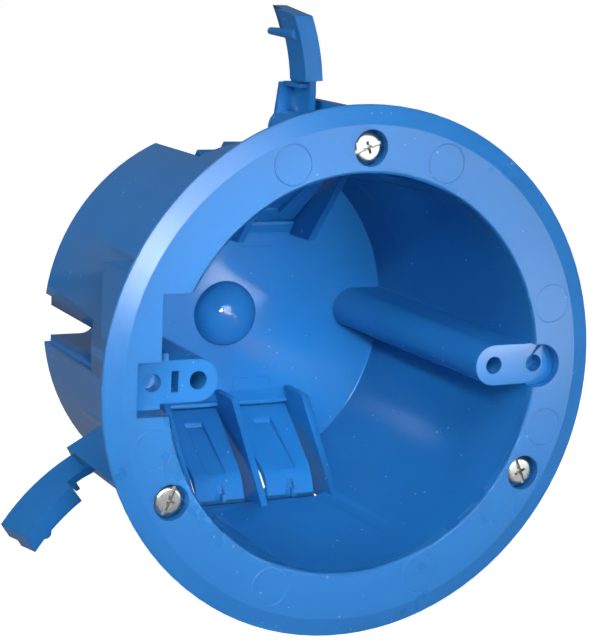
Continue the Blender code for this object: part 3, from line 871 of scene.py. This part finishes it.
@dataclass
class ClampScrews:
    """The three pan head screws with a crossed and slotted recess and a rolled thread."""

    finish: bpy.types.Material
    places: tuple[str, ...] = ("top", "lower_left", "lower_right")
    core_radius: float = 1.66 * MM
    point_inset: float = 0.7 * MM
    point_length: float = 0.8 * MM
    under_edge: float = 0.12 * MM
    ridge: float = 0.41 * MM
    pitch: float = 0.79 * MM
    head_height: float = 2.2 * MM
    rim_height: float = 1.1 * MM
    cross_width: float = 0.95 * MM
    cross_depth: float = 1.3 * MM
    cross_share: float = 0.62
    cross_taper: float = 0.35
    slot_width: float = 0.90 * MM
    slot_depth: float = 0.62 * MM
    slot_taper: float = 0.8
    under_head: float = 2.4 * MM
    bare_end: float = 1.3 * MM
    first_turn: float = 20.0
    next_turn: float = 47.0

    def blank(self, length: float, head_radius: float) -> bpy.types.Object:
        """The screw without its thread, head up along Z, with the head's top at zero.

        Args:
            length: Overall length.
            head_radius: Radius of the head.

        Returns:
            The blank with its recess cut.
        """
        profile = [
            (0.0, -length),
            (self.core_radius - self.point_inset, -length),
            (self.core_radius, -length + self.point_length),
            (self.core_radius, -self.head_height),
            (head_radius - self.under_edge, -self.head_height),
            (head_radius, -self.head_height + self.under_edge),
        ]
        corner = head_radius - self.rim_height
        for step in range(9):
            angle = math.radians(90 * step / 8)
            across = corner + self.rim_height * math.cos(angle)
            profile.append((across, self.rim_height * (math.sin(angle) - 1.0)))
        profile.append((0.0, 0.0))
        item = link("screw_blank", turned(profile, 64, "screw_blank"))
        reach = 2.0 * head_radius * self.cross_share
        above = (0, 0, 0.1 * MM)
        for size in ((reach, self.cross_width), (self.cross_width, reach)):
            carve(item, block((*size, 2 * self.cross_depth), above, self.cross_taper))
        slot = (head_radius * 2.4, self.slot_width, 2 * self.slot_depth)
        carve(item, block(slot, (0, 0, 0), self.slot_taper))
        shade_round_faces(item.data, HEAD_CREASE_ANGLE)
        return item

    def thread(self, length: float) -> bpy.types.Object:
        """The thread's ridge, wound from near the point to under the head.

        Args:
            length: Overall length of the screw.

        Returns:
            The ridge, along Z.
        """
        item = link("thread", bpy.data.meshes.new("thread"))
        turns = math.floor((length - self.head_height - self.under_head) / self.pitch)
        numbers = {
            "Radius": self.core_radius,
            "Pitch": self.pitch,
            "Turns": float(turns),
            "Ridge": self.ridge,
        }
        run_tree(item, thread_tree(), self.finish, numbers)
        item.data.transform(Matrix.Translation((0, 0, -length + self.bare_end)))
        return item

    def build(self) -> list[bpy.types.Object]:
        """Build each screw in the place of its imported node.

        Returns:
            The pieces.
        """
        made = []
        for turn, place in enumerate(self.places):
            node = f"clamp_screw_{place}"
            low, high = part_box(node)
            length = high[1] - low[1]
            item = self.blank(length, (high[0] - low[0]) / 2)
            coil = self.thread(length)
            joined = bmesh.new()
            joined.from_mesh(item.data)
            joined.from_mesh(coil.data)
            joined.to_mesh(item.data)
            joined.free()
            bpy.data.objects.remove(coil, do_unlink=True)
            axis = ((low[0] + high[0]) / 2, low[1], (low[2] + high[2]) / 2)
            spin = Matrix.Rotation(math.radians(self.first_turn + self.next_turn * turn), 4, "Z")
            stand = Matrix.Translation(axis) @ Matrix.Rotation(math.radians(90), 4, "X")
            item.data.transform(stand @ spin)
            item.name = f"pan_head_screw_{place}"
            dress(item, self.finish)
            made.append(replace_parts(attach(item, Body.SCREW.named(place)), node))
        return made


@dataclass(frozen=True)
class SoftLight:
    """One rectangular soft light: its place, aim, size, watts, spin and spread in degrees."""

    name: str
    place: Point
    aim: Point
    size: tuple[float, float]
    power: float
    spin: float = 0.0
    spread: float = 180.0

    def build(self) -> None:
        """Add the light, facing its aim."""
        data = bpy.data.lights.new(self.name, "AREA")
        data.shape = "RECTANGLE"
        data.size, data.size_y = self.size
        data.energy = self.power
        data.spread = math.radians(self.spread)
        item = bpy.data.objects.new(self.name, data)
        bpy.context.scene.collection.objects.link(item)
        facing = (Vector(self.aim) - Vector(self.place)).to_track_quat("-Z", "Y").to_matrix().to_4x4()
        spin = Matrix.Rotation(math.radians(self.spin), 4, "Z")
        item.matrix_world = Matrix.Translation(self.place) @ facing @ spin


@dataclass
class Studio:
    """The pale sweep, the soft lights and the camera."""

    camera_place: Point = (-192.7 * MM, -366.3 * MM, 91.5 * MM)
    azimuth: float = 25.88
    fall: float = 10.96
    roll: float = 2.45
    lens: float = 112.99
    shift: tuple[float, float] = (0.0009, -0.00125)
    fill: float = 0.16
    paper_shade: float = 0.38
    paper_roughness: float = 0.9
    paper_glow: float = 0.92
    paper_reach: float = 6.0
    lights: tuple[SoftLight, ...] = (
        SoftLight("front_box", (0.10, -1.30, 0.26), (0, 0.02, 0), (0.50, 0.55), 7.2),
        SoftLight("deep_box", (-0.16, -0.60, 0.12), (0, 0.06, -0.006), (0.06, 0.06), 0.019, spread=12.0),
        SoftLight(
            "deep_low_box", (-0.33, -0.48, 0.26), (0.022, 0.03, -0.016), (0.06, 0.06), 0.013, spread=11.0
        ),
        SoftLight("high_front_box", (-0.16, -0.55, 0.60), (0, 0.03, -0.03), (0.25, 0.25), 2.0),
        SoftLight("left_box", (-0.70, 0.02, 0.22), (0, 0.03, 0), (0.35, 0.40), 2.2),
        SoftLight("top_box", (-0.15, 0.15, 0.80), (0, 0.03, 0), (0.35, 0.35), 0.8),
        SoftLight("right_card", (0.42, -0.62, 0.0), (0, 0, 0), (0.50, 0.10), 0.7),
        SoftLight("low_strip", (0.154, -0.20, -0.038), (0.02, 0.07, 0.012), (0.075, 0.006), 0.05, 14.0),
    )

    def camera(self) -> None:
        """Set up the camera."""
        data = bpy.data.cameras.new("camera")
        data.lens = self.lens
        data.sensor_width = 36.0
        data.shift_x, data.shift_y = self.shift
        data.clip_start = 0.01
        item = bpy.data.objects.new("camera", data)
        bpy.context.scene.collection.objects.link(item)
        turn, fall, roll = (math.radians(value) for value in (self.azimuth, self.fall, self.roll))
        ahead = Vector((math.sin(turn), math.cos(turn), 0))
        forward = ahead * math.cos(fall) - Vector((0, 0, math.sin(fall)))
        level = Vector((math.cos(turn), -math.sin(turn), 0))
        rise = level.cross(forward)
        right = level * math.cos(roll) + rise * math.sin(roll)
        up = rise * math.cos(roll) - level * math.sin(roll)
        columns = Matrix((right, up, -forward)).transposed()
        item.matrix_world = Matrix.Translation(self.camera_place) @ columns.to_4x4()
        bpy.context.scene.camera = item

    def sweep(self, floor_level: float) -> bpy.types.Object:
        """The pale floor.

        Args:
            floor_level: The object's lowest point.

        Returns:
            The floor.
        """
        mesh = bpy.data.meshes.new("floor")
        reach = self.paper_reach
        corners = [(-reach, -reach), (reach, -reach), (reach, reach), (-reach, reach)]
        mesh.from_pydata([(x, y, floor_level) for x, y in corners], [], [(0, 1, 2, 3)])
        item = link("floor", mesh)
        paper = bpy.data.materials.new("pale_paper")
        paper.use_nodes = True
        shader = paper.node_tree.nodes["Principled BSDF"]
        shader.inputs["Base Color"].default_value = (self.paper_shade,) * 3 + (1,)
        shader.inputs["Roughness"].default_value = self.paper_roughness
        shader.inputs["Emission Color"].default_value = (1, 1, 1, 1)
        sheet = NodeSheet(paper.node_tree)
        seen = sheet.add("ShaderNodeLightPath").outputs["Is Camera Ray"]
        sheet.join(sheet.math("MULTIPLY", seen, self.paper_glow), shader.inputs["Emission Strength"])
        item.data.materials.append(paper)
        item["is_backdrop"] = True
        return item

    def world(self) -> None:
        """An even surround, white where it is seen directly and dimmer as light."""
        surround = bpy.data.worlds.new("surround")
        surround.use_nodes = True
        sheet = NodeSheet(surround.node_tree)
        back = surround.node_tree.nodes["Background"]
        back.inputs["Color"].default_value = (1, 1, 1, 1)
        seen = sheet.add("ShaderNodeLightPath").outputs["Is Camera Ray"]
        strength = sheet.math("ADD", sheet.math("MULTIPLY", seen, 1.0 - self.fill), self.fill)
        sheet.join(strength, back.inputs["Strength"])
        bpy.context.scene.world = surround

    def build(self) -> None:
        """Set up the floor, the lights and the camera."""
        low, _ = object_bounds()
        self.sweep(low[2] - 0.05 * MM)
        self.world()
        for light in self.lights:
            light.build()
        self.camera()


def main() -> None:
    """Build the box's pieces in order and report them."""
    logging.basicConfig(level=logging.INFO, format="%(name)s: %(message)s")
    sizes: dict[str, list[list[float]]] = {}
    save_bounds(sizes, "frame")
    bpy.context.scene.view_settings.view_transform = "Standard"
    shared = Finishes()
    blue = MouldedBlue().build(shared)
    zinc = BrightZinc().build(shared)
    for group in (MouldedBox(blue), CableClamps(blue), SwingClamps(blue), ClampScrews(zinc)):
        for item in group.build():
            LOG.info("%s: %d faces", item.name, len(item.data.polygons))
    Studio().build()
    save_bounds(sizes, "looks")


if __name__ == "__main__":
    main()
